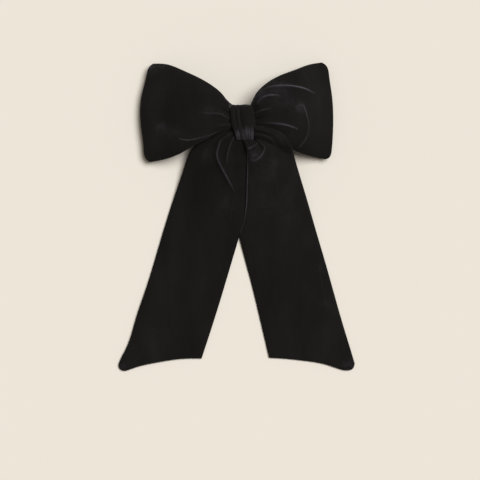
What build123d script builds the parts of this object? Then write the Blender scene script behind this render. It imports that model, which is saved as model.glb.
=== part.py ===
"""Velvet hair bow sewn on an arched spring-clip barrette, lying on its back.

Millimetres, +Z up. The front of the bow faces +Z, its tails run towards -Y, and the
origin is under the knot, on the flat underside of the clasp arm. The cloth pieces are
plain closed solids; the barrette is modelled at its working size and clearances.
"""

import os
from math import sqrt

from build123d import *

# ---- driving dimensions -------------------------------------------------------------
# barrette
BAR_LENGTH, BAR_WIDTH, BAR_THICKNESS = 80.0, 8.0, 0.8
BAR_RISE = 2.0  # how far the bar's middle stands above its ends
BAR_UNDERSIDE = 9.4  # height of the bar's underside at its middle
PIN_X, PIN_Z, PIN_RADIUS = -36.5, 1.5, 0.7
PIN_RUNNING_CLEARANCE = 0.05
EAR_THICKNESS, EAR_RADIUS, EAR_GAP = 0.7, 1.3, 0.4
ARM_TIP_X, ARM_WIDTH, ARM_HEIGHT, ARM_SHEET = 38.0, 5.8, 1.8, 0.5
LATCH_START, LATCH_WINDOW_LENGTH, LATCH_WINDOW_WIDTH = 29.0, 5.0, 4.4
LEAF_X, LEAF_LENGTH, LEAF_SHEET = 34.0, 4.0, 0.4
LEAF_INNER_Y, LEAF_TOP, LEAF_BOTTOM = 1.4, 6.6, 0.45
TAB_REACH, TAB_HEIGHT = 6.0, 4.1
BRACKET_UNDERSIDE = 6.75
STRIP_START, STRIP_END, STRIP_WIDTH, STRIP_THICKNESS = -33.5, 27.0, 4.4, 0.35
STRIP_HEIGHTS = (7.6, 6.4, 6.5)  # mid-thickness at the riveted end, the middle, the free end
STRIP_RIVET_X, RIVET_RADIUS = -31.0, 0.6

# backing and sewing
PAD_LENGTH, PAD_WIDTH, PAD_THICKNESS = 68.0, 14.0, 1.4
THREAD = 0.6
STITCH_STATIONS = (-24.0, -18.0, 18.0, 24.0)
STITCH_HOLE_Y, STITCH_HOLE_RADIUS = 2.8, 0.6

# knot: a band round the gathered middle of the bow
KNOT_WIDTH, KNOT_LENGTH, KNOT_DEPTH, KNOT_WALL = 17.6, 29.6, 13.6, 1.8
KNOT_CENTRE_Z = 19.0
ROUNDING = 0.44  # corner radius of the knot and what it covers, per depth
WINDING_TURNS, WINDING_PITCH, WINDING_THICKNESS = 6, 1.1, 0.8

# loops: a folded band, closed at the outer fold, open along its two long edges
LOOP_WALL = 2.2
LOOP_ROOT_X = 9.1
LOOP_HOLLOW_START, LOOP_HOLLOW_BACK, LOOP_HOLLOW_FRONT = 18.0, 16.0, 20.5
LOOP_FOLD_Z, LOOP_BASE_Z = 6.5, 0.8
LOOP_OVER_BAR = ((42.5, 9.2), (28.0, 12.6))  # where the back layer passes over the bar's end
LOOP_PRISM = 60.0

# tails: flat tubes that leave the knot and settle on the table
TAIL_THICKNESS = 3.0
TAIL_HINGE_Y, TAIL_HINGE_Z = -17.2, 13.0
TAIL_TOUCHDOWN_Y, TAIL_END_Y = -74.0, -200.0
TAIL_GAP = 0.3  # each tail's distance from the line where they meet

bar_radius = (BAR_LENGTH**2 / 4 + BAR_RISE**2) / (2 * BAR_RISE)
bar_top = BAR_UNDERSIDE + BAR_THICKNESS
arm_flange_y = ARM_WIDTH / 2 - ARM_SHEET
ear_y = ARM_WIDTH / 2 + EAR_GAP


def drop(x):
    """How far the arched bar has fallen at x below its height in the middle."""
    return bar_radius - sqrt(bar_radius**2 - x**2)


def arched_band(half_length, underside, thickness):
    """Side face of a band that follows the bar's arch, seen along Y."""
    ends = underside - drop(half_length)
    with BuildSketch(Plane.XZ) as band:
        with BuildLine():
            lower = ThreePointArc((-half_length, ends), (0, underside), (half_length, ends))
            upper = ThreePointArc(
                (-half_length, ends + thickness),
                (0, underside + thickness),
                (half_length, ends + thickness),
            )
            Line(lower @ 0, upper @ 0)
            Line(lower @ 1, upper @ 1)
        make_face()
    return band.sketch


def write(piece, name):
    """Label a finished piece and write it as its own STEP file."""
    piece.part.label = name
    export_step(piece.part, f"parts/{name}.step")


os.makedirs("parts", exist_ok=True)

# ---- barrette: base bar with its hinge ears -----------------------------------------
with BuildPart() as base_bar:
    extrude(arched_band(BAR_LENGTH / 2, BAR_UNDERSIDE, BAR_THICKNESS), amount=BAR_WIDTH / 2, both=True)
    fillet(base_bar.edges().filter_by(Axis.Z), radius=2.0)
    ear_root = BAR_UNDERSIDE - drop(PIN_X) + BAR_THICKNESS / 2
    for side in (-1, 1):
        with BuildSketch(Plane.XZ.offset(side * (ear_y + EAR_THICKNESS / 2))):
            with BuildLine():
                Polyline(
                    (PIN_X - EAR_RADIUS, PIN_Z),
                    (PIN_X - EAR_RADIUS, ear_root),
                    (PIN_X + 2 * EAR_RADIUS, ear_root),
                    (PIN_X + EAR_RADIUS, PIN_Z),
                )
                ThreePointArc(
                    (PIN_X + EAR_RADIUS, PIN_Z),
                    (PIN_X, PIN_Z - EAR_RADIUS),
                    (PIN_X - EAR_RADIUS, PIN_Z),
                )
            make_face()
            with Locations((PIN_X, PIN_Z)):
                Circle(PIN_RADIUS, mode=Mode.SUBTRACT)
        extrude(amount=EAR_THICKNESS / 2, both=True)
    with BuildSketch(Plane.XY):
        for station in STITCH_STATIONS:
            with Locations((station, STITCH_HOLE_Y), (station, -STITCH_HOLE_Y)):
                Circle(STITCH_HOLE_RADIUS)
        with Locations((STRIP_RIVET_X, 0), (LEAF_X, 0)):
            Circle(RIVET_RADIUS)
    extrude(amount=2 * bar_top, mode=Mode.SUBTRACT)
write(base_bar, "base_bar")

# ---- hinge pin, headed over outside the ears ----------------------------------------
PIN_HEAD_RADIUS, PIN_HEAD_THICKNESS = 1.0, 0.3
pin_half = ear_y + EAR_THICKNESS
with BuildPart() as hinge_pin:
    with BuildSketch(Plane.XZ):
        with Locations((PIN_X, PIN_Z)):
            Circle(PIN_RADIUS)
    extrude(amount=pin_half, both=True)
    for side in (-1, 1):
        with BuildSketch(Plane.XZ.offset(side * (pin_half + PIN_HEAD_THICKNESS / 2))):
            with Locations((PIN_X, PIN_Z)):
                Circle(PIN_HEAD_RADIUS)
        extrude(amount=PIN_HEAD_THICKNESS / 2, both=True)
write(hinge_pin, "hinge_pin")

# ---- clasp arm: a shallow channel with a raised latch plate at its free end ---------
LUG_RADIUS = 1.5
with BuildPart() as clasp_arm:
    with BuildSketch(Plane.XY):
        with Locations(((PIN_X + LATCH_START) / 2, 0)):
            Rectangle(LATCH_START - PIN_X, ARM_WIDTH)
    extrude(amount=ARM_SHEET)
    with BuildSketch(Plane.XY.offset(ARM_HEIGHT - ARM_SHEET)):
        with Locations(((LATCH_START + ARM_TIP_X) / 2, 0)):
            Rectangle(ARM_TIP_X - LATCH_START, ARM_WIDTH)
        with Locations((LEAF_X, 0)):
            RectangleRounded(LATCH_WINDOW_LENGTH, LATCH_WINDOW_WIDTH, 0.4, mode=Mode.SUBTRACT)
    extrude(amount=ARM_SHEET)
    with Locations((LATCH_START, 0, ARM_HEIGHT / 2)):
        Box(ARM_SHEET, ARM_WIDTH, ARM_HEIGHT)
    for side in (-1, 1):
        with BuildSketch(Plane.XZ.offset(side * (ARM_WIDTH / 2 - ARM_SHEET / 2))):
            with Locations(((PIN_X + ARM_TIP_X) / 2, ARM_HEIGHT / 2)):
                Rectangle(ARM_TIP_X - PIN_X, ARM_HEIGHT)
            with Locations((PIN_X, PIN_Z)):
                Circle(LUG_RADIUS)
                Circle(PIN_RADIUS + PIN_RUNNING_CLEARANCE, mode=Mode.SUBTRACT)
        extrude(amount=ARM_SHEET / 2, both=True)
    with BuildSketch(Plane.XY):
        with Locations((PIN_X + PIN_RADIUS, 0)):
            Rectangle(4 * PIN_RADIUS, 2 * arm_flange_y)
    extrude(amount=ARM_SHEET, mode=Mode.SUBTRACT)
    with BuildSketch(Plane.XY):
        with Locations(((PIN_X - LUG_RADIUS + ARM_TIP_X) / 2, 0)):
            RectangleRounded(ARM_TIP_X - PIN_X + LUG_RADIUS, ARM_WIDTH, 1.2)
    extrude(amount=2 * LUG_RADIUS, mode=Mode.INTERSECT)
write(clasp_arm, "clasp_arm")

# ---- tension strip: a bowed spring leaf held by one rivet ---------------------------
STRIP_HOLE_RADIUS = 0.85
strip_middle = ((STRIP_START + STRIP_END) / 2, STRIP_HEIGHTS[1])
with BuildPart() as tension_strip:
    with BuildSketch(Plane.XZ):
        with BuildLine():
            ThreePointArc((STRIP_START, STRIP_HEIGHTS[0]), strip_middle, (STRIP_END, STRIP_HEIGHTS[2]))
        trace(line_width=STRIP_THICKNESS)
    extrude(amount=STRIP_WIDTH / 2, both=True)
    with Locations((STRIP_RIVET_X, 0, STRIP_HEIGHTS[0])):
        Cylinder(STRIP_HOLE_RADIUS, 4.0, mode=Mode.SUBTRACT)
write(tension_strip, "tension_strip")

# ---- rivets: one holds the strip, one the catch bracket -----------------------------
RIVET_HEAD_RADIUS, RIVET_HEAD_THICKNESS = 1.1, 0.35


def rivet(x, low):
    """A shank from low up through the bar, with a head at each end."""
    top = bar_top - drop(x) + 0.1
    upright = (Align.CENTER, Align.CENTER, Align.MIN)
    with BuildPart() as pin:
        with Locations((x, 0, low)):
            Cylinder(RIVET_RADIUS, top - low, align=upright)
        with Locations((x, 0, low - RIVET_HEAD_THICKNESS)):
            Cylinder(RIVET_HEAD_RADIUS, RIVET_HEAD_THICKNESS, align=upright)
        with Locations((x, 0, top)):
            Cylinder(RIVET_HEAD_RADIUS, RIVET_HEAD_THICKNESS, align=upright)
        fillet(pin.edges().group_by(Axis.Z)[-1], radius=0.25)
    return pin


strip_rivet = rivet(STRIP_RIVET_X, STRIP_HEIGHTS[0] - 0.55)
write(strip_rivet, "strip_rivet")
catch_rivet = rivet(LEAF_X, BRACKET_UNDERSIDE)
write(catch_rivet, "catch_rivet")

# ---- catch: a bracket under the bar and two leaves squeezed together to let go ------
BRACKET_THICKNESS = 0.5
with BuildPart() as catch_bracket:
    with BuildSketch(Plane.XY.offset(BRACKET_UNDERSIDE)):
        with Locations((LEAF_X, 0)):
            RectangleRounded(LATCH_WINDOW_LENGTH, ARM_WIDTH, 0.6)
            Circle(RIVET_RADIUS, mode=Mode.SUBTRACT)
    extrude(amount=BRACKET_THICKNESS)
write(catch_bracket, "catch_bracket")


def catch_leaf(side):
    """A spring leaf through the arm's window: hook below, finger tab outside (+Y for side 1)."""
    outer = LEAF_INNER_Y + LEAF_SHEET
    hook_reach, hook_top, hook_mid = 0.3, 1.15, 0.95
    tab_low = TAB_HEIGHT - LEAF_SHEET / 2
    pad_low, pad_high = 2.8, 5.6
    with BuildPart() as leaf:
        with BuildSketch(Plane.YZ.offset(LEAF_X - LEAF_LENGTH / 2)):
            with BuildLine():
                Polyline(
                    (side * LEAF_INNER_Y, LEAF_BOTTOM),
                    (side * outer, LEAF_BOTTOM),
                    (side * (outer + hook_reach), hook_mid),
                    (side * outer, hook_top),
                    (side * outer, tab_low),
                    (side * (TAB_REACH - LEAF_SHEET), tab_low),
                    (side * (TAB_REACH - LEAF_SHEET), pad_low),
                    (side * TAB_REACH, pad_low),
                    (side * TAB_REACH, pad_high),
                    (side * (TAB_REACH - LEAF_SHEET), pad_high),
                    (side * (TAB_REACH - LEAF_SHEET), tab_low + LEAF_SHEET),
                    (side * outer, tab_low + LEAF_SHEET),
                    (side * outer, LEAF_TOP),
                    (side * LEAF_INNER_Y, LEAF_TOP),
                    close=True,
                )
            make_face()
        extrude(amount=LEAF_LENGTH)
    return leaf


write(catch_leaf(1), "catch_leaf_upper")
write(catch_leaf(-1), "catch_leaf_lower")

# ---- backing pad between the bar and the bow ----------------------------------------
with BuildPart() as backing_pad:
    extrude(
        arched_band(PAD_LENGTH / 2, bar_top + RIVET_HEAD_THICKNESS / 4, PAD_THICKNESS),
        amount=PAD_WIDTH / 2,
        both=True,
    )
    with BuildSketch(Plane.XY):
        SlotOverall(PAD_LENGTH, PAD_WIDTH)
    extrude(amount=2 * bar_top, mode=Mode.INTERSECT)
write(backing_pad, "backing_pad")

# ---- bar stitches: thread from the pad down through each hole and back round the edge
stitch_edge_y = BAR_WIDTH / 2 + THREAD
with BuildPart() as bar_stitches:
    for station in STITCH_STATIONS:
        underneath = BAR_UNDERSIDE - drop(station) - THREAD
        inside_pad = underneath + 2 * THREAD + BAR_THICKNESS + 0.2
        for side in (-1, 1):
            with BuildSketch(Plane.YZ.offset(station)):
                with BuildLine():
                    Polyline(
                        (side * STITCH_HOLE_Y, inside_pad),
                        (side * STITCH_HOLE_Y, underneath),
                        (side * stitch_edge_y, underneath),
                        (side * stitch_edge_y, inside_pad),
                    )
                trace(line_width=THREAD)
            extrude(amount=THREAD / 2, both=True)
write(bar_stitches, "bar_stitches")

# ---- knot, the gathered middle it covers, and the thread that binds it ---------------
with BuildPart() as center_knot:
    with BuildSketch(Plane.YZ):
        with Locations((0, KNOT_CENTRE_Z)):
            RectangleRounded(KNOT_LENGTH, KNOT_DEPTH, ROUNDING * KNOT_DEPTH)
            RectangleRounded(
                KNOT_LENGTH - 2 * KNOT_WALL,
                KNOT_DEPTH - 2 * KNOT_WALL,
                ROUNDING * (KNOT_DEPTH - 2 * KNOT_WALL),
                mode=Mode.SUBTRACT,
            )
    extrude(amount=KNOT_WIDTH / 2, both=True)
write(center_knot, "center_knot")

WINDING_GAP = 0.2  # between the core and the thread, and between the thread and the knot
core_length = KNOT_LENGTH - 2 * KNOT_WALL - 2 * WINDING_THICKNESS - 2 * WINDING_GAP
core_depth = KNOT_DEPTH - 2 * KNOT_WALL - 2 * WINDING_THICKNESS - 2 * WINDING_GAP
winding_length = core_length + 2 * WINDING_THICKNESS + WINDING_GAP
winding_depth = core_depth + 2 * WINDING_THICKNESS + WINDING_GAP
with BuildPart() as gathered_core:
    with BuildSketch(Plane.YZ):
        with Locations((0, KNOT_CENTRE_Z)):
            RectangleRounded(core_length, core_depth, ROUNDING * core_depth)
    extrude(amount=KNOT_WIDTH / 2, both=True)
write(gathered_core, "gathered_core")

with BuildPart() as gather_thread:
    for turn in range(WINDING_TURNS):
        turn_x = (turn - (WINDING_TURNS - 1) / 2) * WINDING_PITCH
        with BuildSketch(Plane.YZ.offset(turn_x)):
            with Locations((0, KNOT_CENTRE_Z)):
                RectangleRounded(winding_length, winding_depth, ROUNDING * winding_depth)
                RectangleRounded(
                    core_length + WINDING_GAP,
                    core_depth + WINDING_GAP,
                    ROUNDING * (core_depth + WINDING_GAP),
                    mode=Mode.SUBTRACT,
                )
        extrude(amount=WINDING_THICKNESS / 2, both=True)
write(gather_thread, "gather_thread")

# seam stitches that close the knot's band at the back
SEAM_STITCHES, SEAM_STITCH_LENGTH = 5, 3.4
knot_back = KNOT_CENTRE_Z - KNOT_DEPTH / 2
with BuildPart() as knot_seam_stitches:
    with BuildSketch(Plane.XY.offset(knot_back - THREAD / 3)):
        with GridLocations(KNOT_WIDTH / (SEAM_STITCHES + 1), 1, SEAM_STITCHES, 1):
            SlotOverall(SEAM_STITCH_LENGTH, THREAD, rotation=65)
    extrude(amount=THREAD)
write(knot_seam_stitches, "knot_seam_stitches")


# ---- loops --------------------------------------------------------------------------
def loop_section(y, reach, crown, inset):
    """Side face of a loop at y, seen along Y: knot end, crown and outer fold.

    reach is the fold's x (negative for the left loop), crown the section's greatest
    height, and inset how far the face lies inside the cloth's outer surface.
    """
    side = 1 if reach > 0 else -1
    root = side * (LOOP_ROOT_X if inset == 0 else LOOP_HOLLOW_START)
    far = reach - side * inset
    span = far - root
    back = (KNOT_CENTRE_Z - KNOT_DEPTH / 2 + KNOT_WALL if inset == 0 else LOOP_HOLLOW_BACK)
    front = (KNOT_CENTRE_Z + KNOT_DEPTH / 2 - KNOT_WALL if inset == 0 else LOOP_HOLLOW_FRONT)
    with BuildSketch(Plane.XZ.offset(-y)) as section:
        with BuildLine():
            upper = Spline(
                (root, front),
                (root + 0.34 * span, crown - inset),
                (root + 0.82 * span, 0.66 * crown - inset),
                (far, LOOP_FOLD_Z),
                tangents=[(side, 0.4), (0, -1)],
            )
            lower = Spline(
                (far, LOOP_FOLD_Z),
                (far - side * 8.0, LOOP_BASE_Z + inset),
                *[(side * x, z + inset) for x, z in LOOP_OVER_BAR],
                (root, back),
                tangents=[(0, -1), (-side, 0.1)],
            )
            Line(lower @ 1, upper @ 0)
        make_face()
    return section.sketch


LOOP_STATIONS_Y = (52.0, 10.0, -34.0)  # above, across and below the loops


def loop(profile, edges):
    """A puffed band lofted through its side sections, cut along its two long edges.

    profile gives how far the band reaches from the knot and how high it stands, per station.
    """
    stations = [(y, reach, crown) for y, (reach, crown) in zip(LOOP_STATIONS_Y, profile)]
    with BuildPart() as band:
        for inset, mode in ((0, Mode.ADD), (LOOP_WALL, Mode.SUBTRACT)):
            loft([loop_section(*station, inset) for station in stations], mode=mode)
        extrude(edges, amount=LOOP_PRISM, both=True, mode=Mode.INTERSECT)
    return band


LOOP_BEYOND = 90.0
with BuildSketch(Plane.XY) as right_edges:
    with BuildLine():
        upper_edge = Spline(
            (0, 11.0), (18, 31.0), (40, 42.5), (62, 48.2), tangents=[(1, 1.8), (1, 0.1)]
        )
        lower_edge = Spline((0, -9.0), (38, -19), (60, -26.6), tangents=[(1, -0.2), (1, -0.15)])
        Polyline(upper_edge @ 1, (LOOP_BEYOND, 46.0), (LOOP_BEYOND, -24.0), lower_edge @ 1)
        Line(lower_edge @ 0, upper_edge @ 0)
    make_face()
right_loop = loop([(65.5, 25.0), (70.3, 28.0), (67.0, 24.0)], right_edges.sketch)
write(right_loop, "right_loop")

with BuildSketch(Plane.XY) as left_edges:
    with BuildLine():
        upper_edge = Spline(
            (0, 11.0), (-24, 29.3), (-47, 42), (-68, 48.2), tangents=[(-1, 1.2), (-1, 0.1)]
        )
        lower_edge = Spline((0, -9.0), (-34, -15), (-70, -29.5), tangents=[(-1, -0.1), (-1, -0.3)])
        Polyline(upper_edge @ 1, (-LOOP_BEYOND, 46.0), (-LOOP_BEYOND, -30.0), lower_edge @ 1)
        Line(lower_edge @ 0, upper_edge @ 0)
    make_face()
left_loop = loop([(-74.0, 25.0), (-81.0, 29.0), (-75.5, 24.0)], left_edges.sketch)
write(left_loop, "left_loop")


# ---- tails --------------------------------------------------------------------------
def tail(outline):
    """A flat tube of cloth: its fall seen along X, cut to its outline from above."""
    half = TAIL_THICKNESS / 2
    with BuildPart() as cloth:
        with BuildSketch(Plane.YZ):
            with BuildLine():
                for height in (-half, half):
                    Line((TAIL_END_Y, half + height), (TAIL_TOUCHDOWN_Y, half + height))
                    Spline(
                        (TAIL_TOUCHDOWN_Y, half + height),
                        (TAIL_HINGE_Y, TAIL_HINGE_Z + height),
                        tangents=[(1, 0), (1, 0)],
                    )
                Line((TAIL_END_Y, 0), (TAIL_END_Y, TAIL_THICKNESS))
                Line((TAIL_HINGE_Y, TAIL_HINGE_Z - half), (TAIL_HINGE_Y, TAIL_HINGE_Z + half))
            make_face()
            with Locations((TAIL_HINGE_Y, TAIL_HINGE_Z)):
                Circle(half)
        extrude(amount=LOOP_PRISM * 2, both=True)
        extrude(outline, amount=LOOP_PRISM, both=True, mode=Mode.INTERSECT)
    return cloth


TAIL_TOP_Y = TAIL_HINGE_Y + TAIL_THICKNESS / 2
MEET = (-3.5, -88.0)  # where the inner edges part

with BuildSketch(Plane.XY) as right_tail_outline:
    with BuildLine():
        Polyline(
            (MEET[0] + TAIL_GAP, MEET[1]),
            (1.0 + TAIL_GAP, -60.0),
            (TAIL_GAP, TAIL_TOP_Y),
            (12.0, TAIL_TOP_Y),
            (39.0, -22.8),
            (76.2, -153.2),
            (81.7, -171.5),
            (86.6, -184.0),
        )
        tip = Spline((86.6, -184.0), (86.6, -189.3), (81.5, -192.9), tangents=[(0.3, -1), (-1, 0)])
        hem = Spline(tip @ 1, (59, -186.6), (20.2, -182.6), tangents=[(-1, 0.2), (-1, 0.1)])
        Polyline(hem @ 1, (13.7, -153.2), (MEET[0] + TAIL_GAP, MEET[1]))
    make_face()
right_tail = tail(right_tail_outline.sketch)
write(right_tail, "right_tail")

with BuildSketch(Plane.XY) as left_tail_outline:
    with BuildLine():
        Polyline(
            (MEET[0] - TAIL_GAP, MEET[1]),
            (1.0 - TAIL_GAP, -60.0),
            (-TAIL_GAP, TAIL_TOP_Y),
            (-12.0, TAIL_TOP_Y),
            (-41.5, -22.8),
            (-84.0, -153.2),
            (-91.0, -174.0),
            (-96.8, -184.0),
        )
        tip = Spline((-96.8, -184.0), (-97.4, -190.0), (-91.5, -192.9), tangents=[(-0.5, -1), (1, 0)])
        hem = Spline(tip @ 1, (-58, -183.6), (-34.8, -183.0), tangents=[(1, 0.3), (1, 0)])
        Polyline(hem @ 1, (-23.1, -153.2), (MEET[0] - TAIL_GAP, MEET[1]))
    make_face()
left_tail = tail(left_tail_outline.sketch)
write(left_tail, "left_tail")
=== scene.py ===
"""Looks of the velvet hair bow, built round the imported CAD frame. Blender 4.5.

Lengths are millimetres in the shared frame, turned into metres when a mesh is made.
"""

import math

import bpy
import numpy as np
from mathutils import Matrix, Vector, noise
from mathutils.bvhtree import BVHTree


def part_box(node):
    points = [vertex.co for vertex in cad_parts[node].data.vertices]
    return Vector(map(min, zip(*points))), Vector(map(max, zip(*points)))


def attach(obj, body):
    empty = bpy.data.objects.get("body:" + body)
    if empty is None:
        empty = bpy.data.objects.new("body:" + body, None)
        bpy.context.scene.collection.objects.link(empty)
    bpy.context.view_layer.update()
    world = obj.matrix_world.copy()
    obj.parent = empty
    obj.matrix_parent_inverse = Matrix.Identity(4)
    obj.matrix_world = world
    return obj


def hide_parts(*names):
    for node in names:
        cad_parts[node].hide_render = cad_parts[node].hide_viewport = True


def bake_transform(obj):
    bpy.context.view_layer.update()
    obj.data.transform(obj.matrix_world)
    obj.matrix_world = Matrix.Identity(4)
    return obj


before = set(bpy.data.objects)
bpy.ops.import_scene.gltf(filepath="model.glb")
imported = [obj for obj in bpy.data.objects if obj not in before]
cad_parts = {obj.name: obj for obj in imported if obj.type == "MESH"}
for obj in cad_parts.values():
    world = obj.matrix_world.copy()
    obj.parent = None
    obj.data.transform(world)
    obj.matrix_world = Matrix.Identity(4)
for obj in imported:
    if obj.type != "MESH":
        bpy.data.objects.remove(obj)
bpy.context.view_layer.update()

MM = 0.001


def in_mm(corners):
    """Low and high corner of a box, turned from metres into millimetres."""
    return [np.array(corner) / MM for corner in corners]


# ---- driving sizes, taken from the frame --------------------------------------------
knot_low, knot_high = in_mm(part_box("center_knot"))
KNOT_HALF_X, KNOT_HALF_Y, KNOT_HALF_Z = (knot_high - knot_low) / 2
KNOT_Z = (knot_high[2] + knot_low[2]) / 2
CLOTH = 2.4  # two layers of velvet, pile to pile

# ---- curves, patches and folds ------------------------------------------------------


def smooth(x, low, high):
    """0 below low, 1 above high, smooth between."""
    t = np.clip((x - low) / (high - low), 0, 1)
    return t * t * (3 - 2 * t)


def cubic(knots, values, at):
    """Natural cubic spline through values (n, k) at the given knots."""
    x, y = np.asarray(knots, float), np.asarray(values, float)
    y = y.reshape(len(x), -1)
    n, h = len(x), np.diff(x)
    matrix, right = np.eye(n), np.zeros((n, y.shape[1]))
    for i in range(1, n - 1):
        matrix[i, i - 1 : i + 2] = h[i - 1], 2 * (h[i - 1] + h[i]), h[i]
        right[i] = 6 * ((y[i + 1] - y[i]) / h[i] - (y[i] - y[i - 1]) / h[i - 1])
    bend = np.linalg.solve(matrix, right)
    at = np.asarray(at, float)
    shape, at = at.shape, at.ravel()
    i = np.clip(np.searchsorted(x, at) - 1, 0, n - 2)
    a, b = (x[i + 1] - at)[:, None], (at - x[i])[:, None]
    w = h[i][:, None]
    out = bend[i] * a**3 / (6 * w) + bend[i + 1] * b**3 / (6 * w)
    out += (y[i] / w - bend[i] * w / 6) * a + (y[i + 1] / w - bend[i + 1] * w / 6) * b
    return out.reshape(shape + (y.shape[1],))


def curve(points, at):
    """Smooth curve through points; at runs from 0 to 1 along its length."""
    p = np.asarray(points, float)
    length = np.concatenate([[0], np.cumsum(np.linalg.norm(np.diff(p, axis=0), axis=1))])
    return cubic(length / length[-1], p, at)


def level(points, at):
    """Smooth function through (place, value) pairs."""
    p = np.asarray(points, float)
    return cubic(p[:, 0], p[:, 1:], at)[..., 0]


def coons(near, far, low, high, r, w):
    """Surface patch inside four boundary curves: near/far at r = 0/1, low/high at w = 0/1."""
    n, f, lo, hi = curve(near, w), curve(far, w), curve(low, r), curve(high, r)
    r, w = r[..., None], w[..., None]
    corner = [np.asarray(c, float) for c in (low[0], high[0], low[-1], high[-1])]
    across = (1 - w) * lo + w * hi
    along = (1 - r) * n + r * f
    twice = (1 - r) * ((1 - w) * corner[0] + w * corner[1]) + r * ((1 - w) * corner[2] + w * corner[3])
    return across + along - twice


CREST = 0.28  # half the width of the painted highlight line along a sharp fold's crest
CREST_REACH = 1.3  # how far from a crest its painted highlight line may still show
HALO, HALO_GLOW = 3.2, 0.06  # the faint painted highlight band round a crest: its width in crests, its share of the glow
FOLD_REACH = 5.0  # how many skirts away from its path a fold is felt

# A fold is listed as crease() takes it after x and y: path, height, skirt, glow, start, end, lean and,
# where it is a soft one, sharp; glow is its painted highlight. A painted sheen spot is its x, y, size and
# amount.


def crease(x, y, path, height, skirt, glow=0.0, start=0.0, end=0.0, lean=0.0, sharp=0.45):
    """A pinched fold along path: its height, the distance from its crest, and the painted highlight (glow)
    on its crest.

    start and end are the shares of its height left at its two ends, and lean from -1 to 1
    makes the skirt wider on the right or left of the path. glow may vary along the path,
    and sharp is how far its crest is rounded off.
    """
    t = np.linspace(0, 1, 80)
    line = curve(path, t)
    length = np.linalg.norm(np.diff(line, axis=0), axis=1).sum()
    tangent = np.gradient(line, axis=0)
    tangent /= np.linalg.norm(tangent, axis=1)[:, None]
    spot = np.stack([x.ravel(), y.ravel()], 1)
    low, high = line.min(0) - FOLD_REACH * skirt, line.max(0) + FOLD_REACH * skirt
    near = np.flatnonzero(((spot > low) & (spot < high)).all(1))
    nearest = ((spot[near, None] - line[None]) ** 2).sum(2).argmin(1)
    d, tan = spot[near] - line[nearest], tangent[nearest]
    aside = tan[:, 0] * d[:, 1] - tan[:, 1] * d[:, 0]
    along = (tan * d).sum(1)
    past_end = (nearest == 0) | (nearest == len(t) - 1)
    away = np.hypot(aside, np.where(past_end, along, 0))
    at = np.clip(t[nearest] + along / length, 0, 1)
    body = np.sin(math.pi * at) ** 0.6
    ends = np.maximum(start * smooth(-at, -0.5, 0.0), end * smooth(at, 0.5, 1.0))
    share = np.maximum(body, ends)
    slope = (np.sqrt(away**2 + sharp**2) - sharp) / (skirt * (1 + lean * np.sign(aside)))
    shine = np.interp(at, np.linspace(0, 1, np.size(glow)), np.atleast_1d(glow))
    rise, lit = np.zeros(len(spot)), np.zeros(len(spot))
    apart = np.full(len(spot), FOLD_REACH * skirt)
    rise[near] = height * share * np.exp(-slope)
    apart[near] = np.where(past_end, away, aside)
    lit[near] = shine * np.minimum(1.2 * share, 1)
    return rise.reshape(x.shape), apart.reshape(x.shape), lit.reshape(x.shape)


def creases(x, y, folds, painted_sheen_spots=()):
    """Height of all folds of a piece, and its painted highlight as three numbers.

    They are the painted highlight everywhere, with the faint band round crests and the painted sheen
    spots, the distance from the nearest crest, and the glow of that crest's painted highlight line.
    """
    rise, painted_highlight, nearest, glow, best = (np.zeros(x.shape) for _ in range(5))
    for path, *how in folds:
        one, apart, lit = crease(x, y, path, *how)
        rise += one
        painted_highlight = np.maximum(painted_highlight, HALO_GLOW * lit * np.exp(-((apart / (HALO * CREST)) ** 2)))
        strength = lit * np.exp(-((apart / CREST_REACH) ** 2))
        nearest = np.where(strength > best, apart, nearest)
        shown = lit * (1 - smooth(np.abs(apart), 0.6 * CREST_REACH, CREST_REACH))
        glow = np.where(strength > best, shown, glow)
        best = np.maximum(best, strength)
    for px, py, size, amount in painted_sheen_spots:
        blotch = 1 + 0.7 * drift(x, y, size, px) + 0.9 * drift(x, y, 2.6, py)
        painted_highlight += amount * blotch * np.exp(-((x - px) ** 2 + (y - py) ** 2) / size**2)
    return rise, np.stack([painted_highlight, nearest, glow], -1)


def drift(x, y, size, seed):
    """Smooth noise from -1 to 1 over the given size in millimetres."""
    layer = seed * 7.31
    flat = [noise.noise(Vector((a / size, b / size, layer))) for a, b in zip(x.ravel(), y.ravel())]
    return np.array(flat).reshape(x.shape)


# ---- meshes -------------------------------------------------------------------------


def make_mesh(name, verts, faces, material, highlight_paint=None):
    """A smooth piece from points in millimetres; its painted highlight goes to its material as an attribute.
    """
    mesh = bpy.data.meshes.new(name)
    mesh.from_pydata([tuple(v) for v in np.asarray(verts) * MM], [], faces)
    mesh.validate()
    if highlight_paint is not None:
        layer = mesh.attributes.new("highlight_paint", "FLOAT_VECTOR", "POINT")
        layer.data.foreach_set("vector", highlight_paint.astype(np.float32).ravel())
    mesh.materials.append(material)
    for polygon in mesh.polygons:
        polygon.use_smooth = True
    piece = bpy.data.objects.new(name, mesh)
    bpy.context.collection.objects.link(piece)
    return piece


def unit_normals(grid, around=False):
    """Normals of a grid of points (n, m, 3), whose rows may close into a ring."""
    if around:
        grid_u = np.roll(grid, -1, 0) - np.roll(grid, 1, 0)
    else:
        grid_u = np.gradient(grid, axis=0)
    grid_v = np.gradient(grid, axis=1)
    n = np.cross(grid_u, grid_v)
    return n / np.maximum(np.linalg.norm(n, axis=2), 1e-9)[..., None]


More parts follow.
